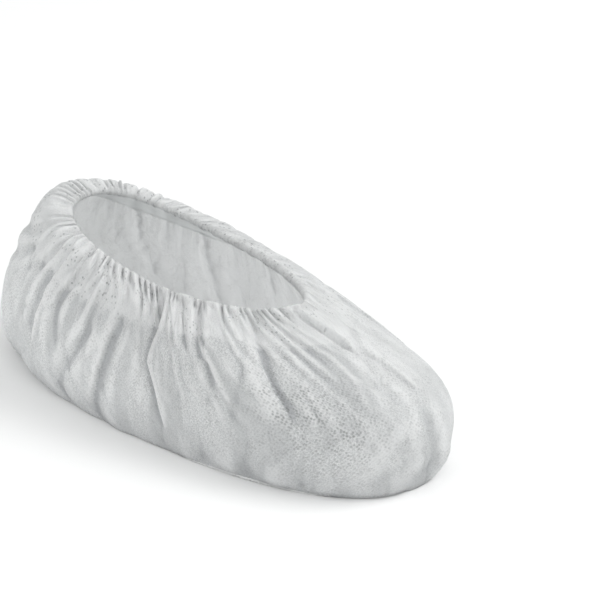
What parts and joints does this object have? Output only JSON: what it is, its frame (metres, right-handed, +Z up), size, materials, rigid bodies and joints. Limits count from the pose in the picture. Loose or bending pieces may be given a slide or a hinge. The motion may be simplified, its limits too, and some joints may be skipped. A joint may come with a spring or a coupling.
{
  "type": "disposable shoe cover",
  "caption": "Nonwoven overshoe: a gathered cloth bag with a flat sole, a turned hem and an elastic opening, pulled on over a shoe.",
  "frame": {"origin": "middle of the footprint, on the face that the sole rests on", "axes": "+X along the foot towards the toe, +Y across the foot to its left, +Z up through the opening"},
  "size_m": [0.3008, 0.1268, 0.0999],
  "materials": {
    "nonwoven_cloth": "thin spunbond cloth with small bond points, matt and slightly translucent",
    "hem_cloth": "two layers of the same cloth, whiter and denser",
    "elastic_thread": "matt covered rubber thread",
    "welded_seam": "cloth pressed and welded, denser and smoother than the rest"
  },
  "bodies": {
    "root": {"cover_body": "nonwoven_cloth", "hem_facing": "hem_cloth", "elastic": "elastic_thread", "toe_seam": "welded_seam", "heel_seam": "welded_seam"}
  },
  "joints": []
}
